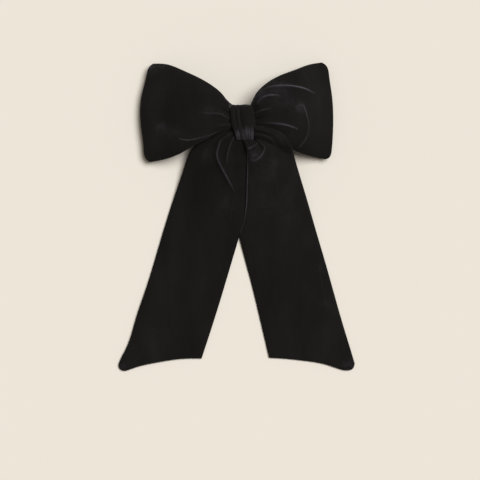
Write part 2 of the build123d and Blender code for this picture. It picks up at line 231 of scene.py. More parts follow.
def cloth_shell(name, middle, thickness, highlight_paint, around=False, material=None):
    """Closed sheet of cloth round a grid of middle points, velvet unless told otherwise.

    It is rolled shut where the thickness is 0: along both long edges (second index), and
    along the first and last rows too, unless the sheet runs around in a ring. The grid after the
    thickness carries its painted highlight, as creases() gives it.
    """
    n = unit_normals(middle, around)
    rows, cols = middle.shape[:2]
    upper = middle + n * thickness[..., None] / 2
    lower = middle - n * thickness[..., None] / 2
    index = np.arange(rows * cols).reshape(rows, cols)
    closed = np.zeros((rows, cols), bool)
    closed[:, 0] = closed[:, -1] = True
    if not around:
        closed[0] = closed[-1] = True
    under = np.where(closed, index, 0)
    open_count = int((~closed).sum())
    under[~closed] = rows * cols + np.arange(open_count)
    verts = np.concatenate([upper.reshape(-1, 3), lower[~closed]])
    faces = []
    last = rows if around else rows - 1
    for i in range(last):
        j = (i + 1) % rows
        for k in range(cols - 1):
            faces.append((index[i, k], index[j, k], index[j, k + 1], index[i, k + 1]))
            faces.append((under[i, k], under[i, k + 1], under[j, k + 1], under[j, k]))
    faces = [tuple(int(v) for v in f) for f in faces if len(set(f)) == 4]
    painted_highlight = np.concatenate([highlight_paint.reshape(-1, 3), np.zeros((open_count, 3))])
    return make_mesh(name, verts, faces, material or VELVET, painted_highlight)


def rounded(share, power=8.0):
    """Thickness share across a sheet (-1 to 1), full in the middle and 0 at the rolled edges."""
    return np.sqrt(np.clip(1 - np.abs(share) ** power, 0, 1))


def spread(count, crowd=0.85):
    """Stations from -1 to 1, crowded towards both ends."""
    t = np.linspace(-1, 1, count)
    return (1 - crowd) * t + crowd * np.sin(t * math.pi / 2)


def relax(grid, rounds, low=-np.inf, high=np.inf):
    """Smooth a grid of heights held between low and high, which may be NaN where nothing holds it."""
    low, high = np.nan_to_num(low, nan=-np.inf), np.nan_to_num(high, nan=np.inf)
    g = grid.copy()
    for _ in range(rounds):
        p = np.pad(g, 1, mode="edge")
        g = np.clip((p[:-2, 1:-1] + p[2:, 1:-1] + p[1:-1, :-2] + p[1:-1, 2:]) / 4, low, high)
    return g


def tree_of(piece):
    """Search tree of a piece's faces, in millimetres."""
    mesh = piece.data
    return BVHTree.FromPolygons(
        [v.co / MM for v in mesh.vertices], [tuple(p.vertices) for p in mesh.polygons]
    )


def height_over(trees, x, y, from_above=True):
    """Highest (or lowest) surface of the pieces at each place; NaN where there is none."""
    start, way = (200.0, -1.0) if from_above else (-50.0, 1.0)
    out = np.full(x.shape, np.nan)
    for i in np.ndindex(x.shape):
        for tree in trees:
            hit = tree.ray_cast(Vector((x[i], y[i], start)), Vector((0, 0, way)))[0]
            if hit is not None:
                better = math.isnan(out[i]) or (hit.z > out[i]) == from_above
                out[i] = hit.z if better else out[i]
    return out


# ---- materials ----------------------------------------------------------------------


def new_material(name):
    """A material, its nodes and links, and its shader."""
    material = bpy.data.materials.new(name)
    material.use_nodes = True
    nodes = material.node_tree.nodes
    return material, nodes, material.node_tree.links, nodes["Principled BSDF"]


def coordinates(nodes, links, scale=(1, 1, 1)):
    """Object coordinates, stretched by 1 / scale."""
    place = nodes.new("ShaderNodeTexCoord")
    mapping = nodes.new("ShaderNodeMapping")
    mapping.inputs["Scale"].default_value = scale
    links.new(place.outputs["Object"], mapping.inputs["Vector"])
    return mapping.outputs["Vector"]


def noise_node(nodes, links, vector, scale, detail=4.0, roughness=0.6):
    """Noise from 0 to 1 at the given number of waves per metre."""
    n = nodes.new("ShaderNodeTexNoise")
    n.inputs["Scale"].default_value = scale
    n.inputs["Detail"].default_value = detail
    n.inputs["Roughness"].default_value = roughness
    links.new(vector, n.inputs["Vector"])
    return n.outputs["Fac"]


def ramp(nodes, links, value, stops):
    """Colour that runs through (value, colour) stops."""
    r = nodes.new("ShaderNodeValToRGB")
    r.color_ramp.elements[0].position, r.color_ramp.elements[0].color = stops[0]
    r.color_ramp.elements[1].position, r.color_ramp.elements[1].color = stops[-1]
    for position, color in stops[1:-1]:
        r.color_ramp.elements.new(position).color = color
    links.new(value, r.inputs["Fac"])
    return r.outputs["Color"]


def bump_node(nodes, links, height, strength, distance, normal=None):
    """Normal disturbed by a height, on top of another normal if one is given."""
    b = nodes.new("ShaderNodeBump")
    b.inputs["Strength"].default_value = strength
    b.inputs["Distance"].default_value = distance
    links.new(height, b.inputs["Height"])
    if normal is not None:
        links.new(normal, b.inputs["Normal"])
    return b.outputs["Normal"]


def velvet():
    """Cut pile: almost black face on, a cool grey bloom side on, and a painted cool grey highlight on fold
    crests and painted sheen spots.
    """
    material, nodes, links, shader = new_material("black_velvet")
    whole = coordinates(nodes, links)
    brushed = coordinates(nodes, links, (1, 0.35, 1))
    crush = noise_node(nodes, links, brushed, 38, 4, 0.62)
    deep, middle = (0.0056, 0.0051, 0.0046, 1), (0.0086, 0.0080, 0.0072, 1)
    raised = (0.0128, 0.0121, 0.0121, 1)
    face = ramp(nodes, links, crush, [(0.32, deep), (0.6, middle), (0.78, raised)])
    # painted highlight: the mesh attribute says where a cool grey is mixed into the face colour, as a thin
    # line on fold crests, a faint band round them and painted sheen spots
    layer = nodes.new("ShaderNodeAttribute")
    layer.attribute_name = "highlight_paint"
    parts = nodes.new("ShaderNodeSeparateXYZ")
    links.new(layer.outputs["Vector"], parts.inputs["Vector"])

    def math_node(operation, *values):
        """Result of a sum over other results and plain numbers."""
        node = nodes.new("ShaderNodeMath")
        node.operation = operation
        for socket, value in zip(node.inputs, values):
            if isinstance(value, float):
                socket.default_value = value
            else:
                links.new(value, socket)
        return node.outputs["Value"]

    widths = math_node("DIVIDE", parts.outputs["Y"], CREST)
    fading = math_node("MULTIPLY", math_node("MULTIPLY", widths, widths), -1.0)
    line = math_node("EXPONENT", fading)
    painted_highlight = math_node("MULTIPLY_ADD", line, parts.outputs["Z"], parts.outputs["X"])
    streaks = noise_node(nodes, links, whole, 420, 3, 0.6)
    uneven = nodes.new("ShaderNodeMapRange")
    uneven.inputs["From Min"].default_value = 0.3
    uneven.inputs["From Max"].default_value = 0.7
    uneven.inputs["To Min"].default_value = 0.7
    uneven.inputs["To Max"].default_value = 1.15
    links.new(streaks, uneven.inputs["Value"])
    share = nodes.new("ShaderNodeMath")
    share.operation, share.use_clamp = "MULTIPLY", True
    links.new(painted_highlight, share.inputs[0])
    links.new(uneven.outputs["Result"], share.inputs[1])
    # the cool grey mixed in here is the painted highlight's colour
    mix = nodes.new("ShaderNodeMix")
    mix.data_type = "RGBA"
    links.new(share.outputs["Value"], mix.inputs["Factor"])
    links.new(face, mix.inputs["A"])
    mix.inputs["B"].default_value = (0.105, 0.098, 0.120, 1)
    links.new(mix.outputs["Result"], shader.inputs["Base Color"])
    shader.inputs["Roughness"].default_value = 0.92
    shader.inputs["Specular IOR Level"].default_value = 0.12
    shader.inputs["Sheen Weight"].default_value = 0.19
    shader.inputs["Sheen Roughness"].default_value = 0.30
    shader.inputs["Sheen Tint"].default_value = (0.72, 0.70, 0.80, 1)
    pile = noise_node(nodes, links, whole, 2600, 2, 0.5)
    tufts = noise_node(nodes, links, whole, 700, 3, 0.6)
    coarse = bump_node(nodes, links, tufts, 0.22, 0.0006)
    links.new(bump_node(nodes, links, pile, 0.5, 0.0003, coarse), shader.inputs["Normal"])
    return material


def felt():
    """Pressed fibres, matt and nearly black."""
    material, nodes, links, shader = new_material("black_felt")
    whole = coordinates(nodes, links)
    fibres = noise_node(nodes, links, whole, 900, 6, 0.75)
    tone = ramp(nodes, links, fibres, [(0.35, (0.008, 0.008, 0.008, 1)), (0.7, (0.03, 0.029, 0.028, 1))])
    links.new(tone, shader.inputs["Base Color"])
    shader.inputs["Roughness"].default_value = 1.0
    shader.inputs["Specular IOR Level"].default_value = 0.1
    shader.inputs["Sheen Weight"].default_value = 0.2
    links.new(bump_node(nodes, links, fibres, 0.8, 0.0006), shader.inputs["Normal"])
    return material


def thread_material():
    """Spun sewing thread with a slight gloss, and painted shade in the grooves of its twist."""
    material, nodes, links, shader = new_material("black_thread")
    whole = coordinates(nodes, links)
    wave = nodes.new("ShaderNodeTexWave")
    wave.wave_type, wave.bands_direction = "BANDS", "DIAGONAL"
    wave.inputs["Scale"].default_value = 900
    wave.inputs["Distortion"].default_value = 1.5
    links.new(whole, wave.inputs["Vector"])
    # the darker colour is painted shade in the twist's grooves, where the bump is low
    groove_shade, strand = (0.008, 0.008, 0.009, 1), (0.04, 0.04, 0.043, 1)
    tone = ramp(nodes, links, wave.outputs["Fac"], [(0.2, groove_shade), (0.8, strand)])
    links.new(tone, shader.inputs["Base Color"])
    shader.inputs["Roughness"].default_value = 0.55
    links.new(bump_node(nodes, links, wave.outputs["Fac"], 0.6, 0.0002), shader.inputs["Normal"])
    return material


def metal(name, color, roughness, scale):
    """Plated pressed steel: fine lengthwise brushing and faint smears."""
    material, nodes, links, shader = new_material(name)
    along = coordinates(nodes, links, scale)
    whole = coordinates(nodes, links)
    brushing = noise_node(nodes, links, along, 900, 3, 0.6)
    smear = noise_node(nodes, links, whole, 130, 4, 0.6)
    low = tuple(0.82 * c for c in color) + (1,)
    links.new(ramp(nodes, links, smear, [(0.3, low), (0.7, color + (1,))]), shader.inputs["Base Color"])
    shader.inputs["Metallic"].default_value = 1.0
    uneven = nodes.new("ShaderNodeMapRange")
    uneven.inputs["To Min"].default_value = roughness * 0.7
    uneven.inputs["To Max"].default_value = roughness * 1.4
    links.new(brushing, uneven.inputs["Value"])
    links.new(uneven.outputs["Result"], shader.inputs["Roughness"])
    links.new(bump_node(nodes, links, brushing, 0.12, 0.0001), shader.inputs["Normal"])
    return material


VELVET = velvet()
FELT = felt()
THREAD = thread_material()
NICKEL = metal("plated_steel", (0.66, 0.64, 0.60), 0.24, (0.06, 1, 1))
SPRING = metal("spring_steel", (0.50, 0.49, 0.47), 0.32, (0.06, 1, 1))

for node, material in (
    ("base_bar", NICKEL), ("clasp_arm", NICKEL), ("catch_bracket", NICKEL), ("hinge_pin", NICKEL),
    ("strip_rivet", NICKEL), ("catch_rivet", NICKEL), ("tension_strip", SPRING),
    ("catch_leaf_upper", SPRING), ("catch_leaf_lower", SPRING),
):
    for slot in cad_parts[node].material_slots:
        slot.material = material

# ---- loops --------------------------------------------------------------------------
LOOP_U, LOOP_V = 230, 168  # stations out and back, and across
BACK_SHRINK, SHRINK_Y = 0.07, 10.0  # how much narrower the back layer is, and the y that it draws in to


def loop_grid(near, fold, low, high, front, back, fold_z, pleats, droop, folds, painted_sheen_spots, seed):
    """Middle surface of a loop: out along the front layer, round the fold, back behind.

    near, fold, low and high bound it seen from the front; front and back are its heights
    along the way out; pleats are waves across it (amount, count, phase, reach) that die out
    from the knot; droop is how much lower the front layer hangs at its two edges.
    """
    u = np.linspace(0, 1, LOOP_U)
    v = spread(LOOP_V)
    uu, vv = np.meshgrid(u, v, indexing="ij")
    r = np.sin(math.pi * uu)
    flat = coons(near, fold, low, high, r, (vv + 1) / 2)
    x, y = flat[..., 0], flat[..., 1]
    closing = np.sqrt(np.clip(1 - r**5, 0, 1))
    front_layer = uu <= 0.5
    pleat = sum(
        amount * np.sin(math.pi * (count * vv + phase)) * np.exp(-((r / reach) ** 2))
        for amount, count, phase, reach in pleats
    )
    low_drop, high_drop = droop
    hang = np.where(vv < 0, low_drop, high_drop) * np.abs(vv) ** 2.6 * smooth(r, 0.02, 0.35)
    # fold heights, and the painted highlight on their crests and painted sheen spots, kept on the front
    # layer only
    rise, highlight_paint = creases(x, y, folds, painted_sheen_spots)
    z_front = level(front, r) + pleat - hang + rise + 0.5 * drift(x, y, 17, seed) * smooth(r, 0.1, 0.4)
    z_back = level(back, r) - 0.6 * pleat + 0.5 * drift(x, y, 21, seed + 3) * smooth(r, 0.1, 0.5)
    z_back = z_back + 1.2 * np.abs(vv) ** 3 * smooth(r, 0.1, 0.5)
    z = np.where(front_layer, fold_z + (z_front - fold_z) * closing, fold_z - (fold_z - z_back) * closing)
    shrink = np.where(front_layer, 0.0, smooth(uu, 0.5, 0.75)) * BACK_SHRINK
    y = y * (1 - shrink) + shrink * SHRINK_Y
    thick = CLOTH * rounded(vv, 10) * rounded(2 * uu - 1, 60)
    return np.stack([x, y, z], 2), thick, np.where(front_layer[..., None], highlight_paint, 0)


right_middle, right_thick, right_highlight_paint = loop_grid(
    near=[(5.0, -8.5), (5.0, 1), (5.0, 12.0)],
    fold=[
        (63.2, -27.4), (66.4, -25.6), (67.9, -20.5), (68.8, -7), (69.0, 8.1), (67.9, 23.2), (65.8, 38),
        (64.2, 44.6), (60.6, 48.0),
    ],
    low=[(5.0, -8.5), (20, -13.0), (38, -20.5), (48.8, -24.5), (63.2, -27.4)],
    high=[(5.0, 12.0), (9.6, 22.4), (17.4, 30.4), (29.0, 37.1), (40.8, 41.8), (52.0, 46.3), (60.6, 48.0)],
    front=[(0, 17.5), (0.07, 20.2), (0.18, 24.6), (0.4, 27.6), (0.7, 24.0), (0.88, 18.0), (1, 13.0)],
    back=[(0, 15.2), (0.35, 13.2), (0.58, 10.4), (0.82, 3.0), (1, 1.6)],
    fold_z=6.5,
    pleats=[(0.9, 6.2, 0.2, 0.16), (0.6, 9.3, 0.7, 0.12), (0.7, 3.4, 0.1, 0.35)],
    droop=(10.0, 7.0),
    folds=[
        ([(13, 21.5), (17, 25.6), (24, 27.8), (34, 28.4), (41.6, 27.6), (47.7, 26.1), (54.5, 23)],
         2.2, 4.0, (0.05, 0.2, 0.45, 0.5, 0.65, 0.9, 0.7), 0.6, 0.35, 0.3),
        ([(10.5, 15.2), (14.5, 19.2), (19.5, 21), (27.5, 20.8)],
         1.5, 2.6, (0.1, 0.2, 0.45, 0.4), 0.9, 0.3, 0.2),
        ([(9.5, 7), (14.5, 9.3), (21.5, 10.6)], 1.2, 2.2, (0.1, 0.18, 0.08), 1.0, 0, 0),
        ([(9, -0.2), (17, -0.3), (25, -0.8), (33, -2), (41.5, -4.6)],
         1.8, 3.0, (0, 0.04, 0.2, 0.5, 0.75), 0.7, 0.3, -0.3),
        ([(8, -4), (15, -5.2), (22, -7)], 1.0, 1.8, (0.1, 0.04), 1.0, 0, 0),
        ([(40.5, 12.4), (45.6, 13), (47.3, 9.4), (48.7, 4.4), (49.8, -1), (49.6, -6.5), (47.4, -12.6),
          (42.2, -19)],
         2.1, 3.6, (0.12, 0.4, 0.28, 0.16, 0.13, 0.14, 0.26, 0.5), 0.1, 0.15, -0.4),
    ],
    # painted sheen spots: lighter patches of colour at x, y, with their size and amount
    painted_sheen_spots=[
        (26, 26, 9, 0.07), (43.5, 11.5, 3.4, 0.11), (44, 4, 7, 0.015), (13, 21, 5, 0.08), (34, 14, 8, 0.04),
        (35, -10, 7, 0.03),
    ],
    seed=1,
)
left_middle, left_thick, left_highlight_paint = loop_grid(
    near=[(-5.0, -3.5), (-5.0, 4), (-5.0, 12.0)],
    fold=[
        (-72.8, -29.8), (-75.4, -27.0), (-77.1, -18.0), (-78.9, -3.3), (-79.7, 8.1), (-78.3, 23.0),
        (-74.6, 38.0), (-73.0, 43.8), (-69.8, 47.2),
    ],
    low=[
        (-5.0, -3.5), (-13, -5.0), (-21, -7.8), (-31, -13.4), (-41, -19.0), (-48.7, -23.4), (-58.2, -27.0),
        (-72.8, -29.8),
    ],
    high=[
        (-5.0, 12.0), (-10.6, 15.5), (-16.0, 21.8), (-23.8, 28.6), (-35.2, 35.4), (-46.8, 41.0),
        (-61.0, 46.6), (-69.8, 47.2),
    ],
    front=[(0, 17.5), (0.07, 20.0), (0.18, 24.4), (0.42, 28.0), (0.7, 24.5), (0.88, 18.0), (1, 13.0)],
    back=[(0, 15.2), (0.33, 13.2), (0.5, 10.6), (0.78, 3.0), (1, 1.6)],
    fold_z=6.5,
    pleats=[(0.8, 5.4, 0.5, 0.15), (0.5, 8.3, 0.2, 0.1), (0.7, 3.1, 0.8, 0.3)],
    droop=(8.0, 7.0),
    folds=[
        ([(-8, -3.4), (-14.5, -4.8), (-27, -9.2), (-37, -12.2), (-45, -13), (-49, -12.2)],
         1.9, 3.2, (0, 0.05, 0.22, 0.15, 0.32, 0.8), 0.7, 0.3, 0.3),
        ([(-8, 2.6), (-12.5, 4.2), (-18, 6.6), (-25, 7), (-32.5, 7.4)],
         1.4, 2.8, (0.14, 0.18, 0.09, 0.12, 0.15), 1.0, 0, 0),
        ([(-9, 12), (-16, 18), (-30, 24)], 0.9, 4.0, 0.0, 0.9, 0, 0),
        ([(-8.6, 9.8), (-11.6, 13.8)], 0.9, 1.6, 0.4, 0.8, 0.5, 0),
        ([(-8.5, -1.2), (-14, -1.6), (-20, -3.0)], 0.9, 1.6, 0.03, 1.0, 0, 0),
    ],
    # painted sheen spots: lighter patches of colour at x, y, with their size and amount
    painted_sheen_spots=[
        (-64, -3, 4.2, 0.1), (-58, -7, 5, 0.04), (-50, -8, 5, 0.03), (-72, 44, 4.2, 0.15),
        (-64, 46.5, 5, 0.08), (-70, 25, 14, 0.025), (-28, 9, 6, 0.03),
    ],
    seed=5,
)
right_loop = cloth_shell("velvet_right_loop", right_middle, right_thick, right_highlight_paint)
left_loop = cloth_shell("velvet_left_loop", left_middle[:, ::-1], left_thick[:, ::-1], left_highlight_paint[:, ::-1])

# ---- knot ---------------------------------------------------------------------------
RING, ACROSS = 160, 72  # stations round the knot, and across its strip
KNOT_LEAN = 0.12  # how far its foot stands to the right of its head, per length
KNOT_FOOT, KNOT_HEAD = 0.28, 0.07  # shares of its width drawn in at its foot and its head
KNOT_SQUARE_Y, KNOT_SQUARE_Z = 0.66, 0.62  # exponents that square its section
KNOT_INSET = 1.1  # how far its head and foot stay inside the CAD knot's, for the lobes
KNOT_SHIFT_X, KNOT_SHIFT_Y, KNOT_LIFT = -0.3, 0.4, 0.3  # where it stands off the CAD knot's middle
KNOT_LOBES = [
    (-1, -1.9), (-0.92, -0.3), (-0.78, 0.6), (-0.62, 0.1), (-0.5, -0.7), (-0.36, 0.7), (-0.24, 0.15),
    (0.1, 0.9), (0.45, 1.2), (0.75, 0.8), (0.92, -0.2), (1, -2.0),
]  # place across the strip, and how far it bulges there


def squared(value, power):
    """A sine or cosine pushed outwards, which makes a round section squarish."""
    return np.sign(value) * np.abs(value) ** power


def knot_middle(turn, across):
    """Middle surface of the strip, at the angle round the knot and the place across it."""
    y_way, z_way = squared(np.cos(turn), KNOT_SQUARE_Y), squared(np.sin(turn), KNOT_SQUARE_Z)
    front = smooth(np.sin(turn), 0.2, 0.8)
    wander = 0.05 * np.sin(3.1 * y_way + 0.6)
    lobes = level(KNOT_LOBES, np.clip(across + wander * (1 - across**2), -1, 1))
    crinkle = drift(across * 9, y_way * 2.2 + z_way * 5, 1.1, 4) * (1 - across**8)
    out = lobes * (0.45 + 0.55 * front) + 0.32 * crinkle * (0.5 + 0.5 * np.abs(y_way))
    foot, head = smooth(-y_way, 0.0, 1.0), smooth(y_way, 0.6, 1.0)
    half_width = (KNOT_HALF_X + 0.2) * (1 - KNOT_FOOT * foot - KNOT_HEAD * head)
    y = y_way * (KNOT_HALF_Y - CLOTH / 2 - KNOT_INSET + 0.45 * out) + KNOT_SHIFT_Y
    z = KNOT_Z + z_way * (KNOT_HALF_Z - CLOTH / 2 + out * (0.5 + 0.5 * front)) + KNOT_LIFT * front
    return across * half_width - KNOT_LEAN * y + KNOT_SHIFT_X, y, z


def paint_knot_highlight(turn, across, y):
    """Painted highlight on the strip: over its foot, and as lines on the edges of two lobes and a side."""

    def edge(place, width):
        return np.exp(-(((across - place) / width) ** 2))

    low_part = smooth(-y, 1.5, 9.5)
    streaks = drift(across * 11, squared(np.cos(turn), KNOT_SQUARE_Y) * 1.4, 1.0, 9)
    bloom = low_part * smooth(across, -0.36, -0.12) * smooth(-across, -1.0, -0.86)
    bloom = bloom * np.clip(0.5 + 0.9 * streaks, 0.1, 1.2)
    heel = smooth(-y, 4.5, 9.5) * smooth(-across, 0.5, 0.7)
    edges = 0.25 * edge(-0.36, 0.04) + 0.4 * edge(-0.88, 0.05) + 0.35 * edge(0.9, 0.05) * low_part
    # the painted highlight goes on the knot's upper face only
    upper_face = smooth(np.sin(turn), -0.2, 0.35)
    return np.clip(upper_face * (0.62 * bloom + 0.34 * heel + edges * (0.15 + 0.6 * low_part)), 0, 1)


knot_turn, knot_across = np.meshgrid(
    np.linspace(0, 2 * math.pi, RING, endpoint=False), spread(ACROSS), indexing="ij"
)
knot_points = knot_middle(knot_turn, knot_across)
# painted highlight of the knot, passed on as its mesh attribute
knot_painted_highlight = paint_knot_highlight(knot_turn, knot_across, knot_points[1])
knot = cloth_shell(
    "velvet_knot_wrap",
    np.stack(knot_points, 2),
    CLOTH * rounded(knot_across, 8),
    np.stack([knot_painted_highlight, 0 * knot_painted_highlight, 0 * knot_painted_highlight], -1),
    around=True,
)

# ---- what the knot covers, the felt behind it, and the thread -----------------------


def solids_of(node):
    """Boxes, in millimetres, of the separate solids in a CAD node."""
    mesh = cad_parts[node].data
    spots = [tuple(round(c, 6) for c in v.co) for v in mesh.vertices]
    first = {spot: i for i, spot in reversed(list(enumerate(spots)))}
    owner = [first[spot] for spot in spots]

    def root(i):
        while owner[i] != i:
            i = owner[i]
        return i

    for edge in mesh.edges:
        a, b = (root(i) for i in edge.vertices)
        owner[max(a, b)] = min(a, b)
    groups = {}
    for i, spot in enumerate(spots):
        groups.setdefault(root(i), []).append(spot)
    boxes = [(np.min(g, 0) / MM, np.max(g, 0) / MM) for g in groups.values()]
    return sorted(boxes, key=lambda box: tuple(box[0]))


def thread_mesh(name, paths, radius, lay):
    """Two-ply twisted thread along smooth paths; lay is the length of one turn of its twist."""
    sides, verts, faces = 8, [], []
    off_middle, ply_radius = 0.46 * radius, 0.56 * radius
    for path in paths:
        length = np.linalg.norm(np.diff(np.asarray(path, float), axis=0), axis=1).sum()
        line = curve(path, np.linspace(0, 1, max(8, int(length / (0.5 * radius)) + 1)))
        tangent = np.gradient(line, axis=0)
        tangent /= np.linalg.norm(tangent, axis=1)[:, None]
        normal = np.cross(tangent, (0.31, 0.47, 0.83))
        normal /= np.linalg.norm(normal, axis=1)[:, None]
        other = np.cross(tangent, normal)
        far = np.concatenate([[0], np.cumsum(np.linalg.norm(np.diff(line, axis=0), axis=1))])
        for ply in (0, math.pi):
            twist = (2 * math.pi * far / lay + ply)[:, None]
            core = line + off_middle * (np.cos(twist) * normal + np.sin(twist) * other)
            start = len(verts)
            for i, centre in enumerate(core):
                for k in range(sides):
                    a = 2 * math.pi * k / sides
                    verts.append(centre + ply_radius * (math.cos(a) * normal[i] + math.sin(a) * other[i]))
            for i in range(len(core) - 1):
                for k in range(sides):
                    a, b = start + i * sides + k, start + i * sides + (k + 1) % sides
                    faces.append((a, b, b + sides, a + sides))
            last = start + (len(core) - 1) * sides
            faces.append(tuple(start + k for k in reversed(range(sides))))
            faces.append(tuple(last + k for k in range(sides)))
    return make_mesh(name, verts, faces, THREAD)


CORE_SQUARE = 0.62  # exponent that squares the section of the bundle and of its winding
CORE_REACH = 6.2  # where the bundle's ends would come to a point
CORE_INSET = 0.4  # room inside the CAD box for the bundle's pleats


def gathered_core():
    """The middle of the bow, pleated together: a squarish bundle drawn in at its waist."""
    low, high = in_mm(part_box("gathered_core"))
    half_y, half_z = (high[1] - low[1]) / 2, (high[2] - low[2]) / 2
    stations = np.linspace(-1, 1, 37)[1:-1]  # without the two ends, where the section shrinks to a point
    turn, out = np.meshgrid(np.linspace(0, 2 * math.pi, 192, endpoint=False), stations, indexing="ij")
    waist = -0.25 * (1 - smooth(np.abs(out), 0.4, 0.8))
    pleats = 0.32 * np.cos(15 * turn + 1.5 * np.sin(2 * turn)) + 0.15 * np.cos(26 * turn + 2.0 * out)
    swell = half_y - CORE_INSET + pleats + waist, half_z - CORE_INSET + pleats + waist
    tuck_in = np.sqrt(np.clip(1 - np.abs(out) ** 9, 0, 1))
    points = np.stack(
        [
            CORE_REACH * out,
            squared(np.cos(turn), CORE_SQUARE) * swell[0] * tuck_in,
            KNOT_Z + squared(np.sin(turn), CORE_SQUARE) * swell[1] * tuck_in,
        ],
        2,
    )
    index = np.arange(turn.size).reshape(turn.shape)
    after = np.roll(index, -1, 0)
    wall = np.stack([index[:, :-1], after[:, :-1], after[:, 1:], index[:, 1:]], -1).reshape(-1, 4).tolist()
    ends = [index[:, 0].tolist(), index[::-1, -1].tolist()]
    return make_mesh("velvet_gathered_core", points.reshape(-1, 3), wall + ends, VELVET)


WINDING_TURNS = 6
WINDING_INSET = 0.4  # from the CAD winding's box in to the thread's middle


def winding_path():
    """Middle of the thread wound round the bundle."""
    low, high = in_mm(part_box("gather_thread"))
    wound = np.linspace(0, 2 * math.pi * WINDING_TURNS, 40 * WINDING_TURNS + 1)
    return np.stack(
        [
            (low[0] + WINDING_INSET) + (high[0] - low[0] - 2 * WINDING_INSET) * wound / wound[-1],
            squared(np.cos(wound), CORE_SQUARE) * (high[1] - WINDING_INSET),
            KNOT_Z + squared(np.sin(wound), CORE_SQUARE) * ((high[2] - low[2]) / 2 - WINDING_INSET),
        ],
        1,
    )


FELT_THICKNESS = 1.4
PAD_INSET = 0.2  # how far the pad's ends stay inside the CAD pad's


def backing_pad():
    """Felt pad with round ends, arched like the bar that it is sewn to."""
    low, high = in_mm(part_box("backing_pad"))
    half_length, half_width = high[0], high[1]
    mesh_half = half_length - PAD_INSET
    x, across = np.meshgrid(spread(120, 0.9) * mesh_half, spread(48), indexing="ij")
    beyond = np.clip(np.abs(x) - (half_length - half_width), 0, half_width - 0.15)
    y = across * np.sqrt(half_width**2 - beyond**2)
    sag = (high[2] - low[2] - FELT_THICKNESS) * (x / half_length) ** 2
    z = high[2] - FELT_THICKNESS / 2 - sag + 0.08 * drift(x, y, 4, 23)
    return cloth_shell(
        "felt_backing_pad",
        np.stack([x, y, z], 2),
        (FELT_THICKNESS - 0.1) * rounded(across, 14) * rounded(x / mesh_half, 60),
        np.zeros(x.shape + (3,)),
        material=FELT,
    )


STITCH_RADIUS = 0.3  # of the stitches in the CAD


def bar_stitch(low, high):
    """Down from the pad through a hole of the bar, and back up round the bar's edge."""
    x = (low[0] + high[0]) / 2
    side = 1 if high[1] > 0 else -1
    inner, outer = sorted((abs(low[1]), abs(high[1])))
    inner, outer = side * (inner + STITCH_RADIUS), side * (outer - STITCH_RADIUS)
    under_bar, into_pad = low[2] + STITCH_RADIUS, high[2]
    return [
        (x, inner, into_pad), (x, inner, under_bar + 0.5), (x, inner + 0.12 * side, under_bar),
        (x, (inner + outer) / 2, under_bar - 0.05), (x, outer - 0.12 * side, under_bar),
        (x, outer, under_bar + 0.5), (x, outer, into_pad),
    ]


def seam_stitch(low, high):
    """A slanted stitch across the seam at the back of the knot, both ends sunk in the cloth."""
    (x0, y0, z0), (x1, y1, z1) = low + STITCH_RADIUS, high - (STITCH_RADIUS, STITCH_RADIUS, 0)
    sunk = z1 + 0.3
    return [
        (x0, y0, sunk), ((3 * x0 + x1) / 4, (3 * y0 + y1) / 4, z0),
        ((x0 + 3 * x1) / 4, (y0 + 3 * y1) / 4, z0), (x1, y1, sunk),
    ]


pleated_core = gathered_core()
gather_winding = thread_mesh("gather_winding", [winding_path()], 0.42, 2.4)
felt_pad = backing_pad()
bar_paths = [bar_stitch(low, high) for low, high in solids_of("bar_stitches")]
bar_sewing = thread_mesh("bar_sewing", bar_paths, STITCH_RADIUS, 1.5)
seam_paths = [seam_stitch(low, high) for low, high in solids_of("knot_seam_stitches")]
seam_sewing = thread_mesh("knot_seam_sewing", seam_paths, 0.27, 1.4)

# ---- tails --------------------------------------------------------------------------
TAIL_S, TAIL_W = 300, 144  # stations along and across


def tail_grid(near, hem, inner, outer, fall, pleats):
    """Middle surface of a tail from the knot to its hem, its thickness, and the places on it.

    near, hem, inner and outer bound it; fall is its height along the way; pleats are waves
    across it (amount, count, phase, reach) that die out from the knot.
    """
    s = np.linspace(0, 1, TAIL_S) ** 1.6
    w = (spread(TAIL_W) + 1) / 2
    ss, ww = np.meshgrid(s, w, indexing="ij")
    flat = coons(near, hem, inner, outer, ss, ww)
    z = level(fall, ss)
    for amount, count, phase, reach in pleats:
        z = z + amount * np.sin(math.pi * (count * (2 * ww - 1) + phase)) * np.exp(-((ss / reach) ** 2))
    thick = CLOTH * rounded(2 * ww - 1, 14) * rounded(np.clip(2 * ss - 1, -1, 1), 120)
    return flat[..., 0], flat[..., 1], z, thick, ss, ww


def settle(x, y, z, ss, seed):
    """Small waves where the cloth lies on the table."""
    settled = smooth(ss, 0.25, 0.5)
    return z + settled * (0.35 * drift(x, y, 38, seed) + 0.25 * drift(x, y, 14, seed + 2))


left_x, left_y, left_z, left_t, left_s, _ = tail_grid(
    near=[(-6.5, -3.0), (-3.0, -9.0), (3.5, -11.0)],
    hem=[
        (-97.8, -187.6), (-97.6, -190.8), (-94.4, -193.2), (-88.8, -192.2), (-80.5, -189.5), (-65.3, -186.4),
        (-50.1, -184.1), (-32.8, -183.7),
    ],
    inner=[
        (-6.5, -3.0), (-18.5, -4.8), (-30.5, -10.8), (-40.8, -20.4), (-46.4, -34), (-55.3, -60),
        (-69.4, -106), (-76.2, -128), (-84.6, -153.2), (-92.2, -176.0), (-95.9, -183.2), (-97.8, -187.6),
    ],
    outer=[
        (3.5, -11.0), (9.0, -22), (10.0, -36), (5.4, -58), (-2.2, -84.5), (-8.0, -104), (-16.3, -132),
        (-24.7, -159), (-32.8, -183.7),
    ],
    fall=[(0, 16.4), (0.04, 17.0), (0.1, 14.6), (0.2, 9.2), (0.36, 2.4), (0.5, 1.5), (1, 1.5)],
    pleats=[(0.8, 4.2, 0.3, 0.1), (0.4, 7.1, 0.1, 0.07)],
)
